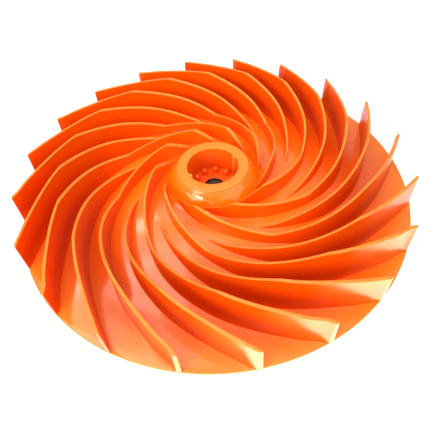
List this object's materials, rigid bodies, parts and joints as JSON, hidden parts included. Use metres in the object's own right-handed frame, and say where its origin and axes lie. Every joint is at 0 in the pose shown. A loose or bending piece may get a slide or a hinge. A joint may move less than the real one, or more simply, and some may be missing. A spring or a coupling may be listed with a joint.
{
  "type": "open centrifugal fan impeller for a hover mower",
  "caption": "Round orange plastic mower impeller: a shallow cone with a flat rim, and alternating long and short curved vanes around a bell-shaped hub with a deep well and a dark bush.",
  "frame": {"origin": "on the shaft axis, in the flat plane that the rim's underside rests on", "axes": "+Z along the shaft axis, from the back plate towards the vanes' free edges; -Y towards the picture's viewer; +X to the viewer's right"},
  "size_m": [0.27, 0.27, 0.0312],
  "materials": {
    "moulded_orange": "glossy moulded polypropylene, slightly translucent",
    "bush_dark": "dark satin insert"
  },
  "bodies": {
    "root": {"back_plate": "moulded_orange", "bell_skirt": "moulded_orange", "hub_collar": "moulded_orange", "well_floor": "moulded_orange", "shaft_bush": "bush_dark", "long_vane_01": "moulded_orange", "long_vane_02": "moulded_orange", "long_vane_03": "moulded_orange", "long_vane_04": "moulded_orange", "long_vane_05": "moulded_orange", "long_vane_06": "moulded_orange", "long_vane_07": "moulded_orange", "long_vane_08": "moulded_orange", "long_vane_09": "moulded_orange", "long_vane_10": "moulded_orange", "short_vane_01": "moulded_orange", "short_vane_02": "moulded_orange", "short_vane_03": "moulded_orange", "short_vane_04": "moulded_orange", "short_vane_05": "moulded_orange", "short_vane_06": "moulded_orange", "short_vane_07": "moulded_orange", "short_vane_08": "moulded_orange", "short_vane_09": "moulded_orange", "short_vane_10": "moulded_orange"}
  },
  "joints": []
}
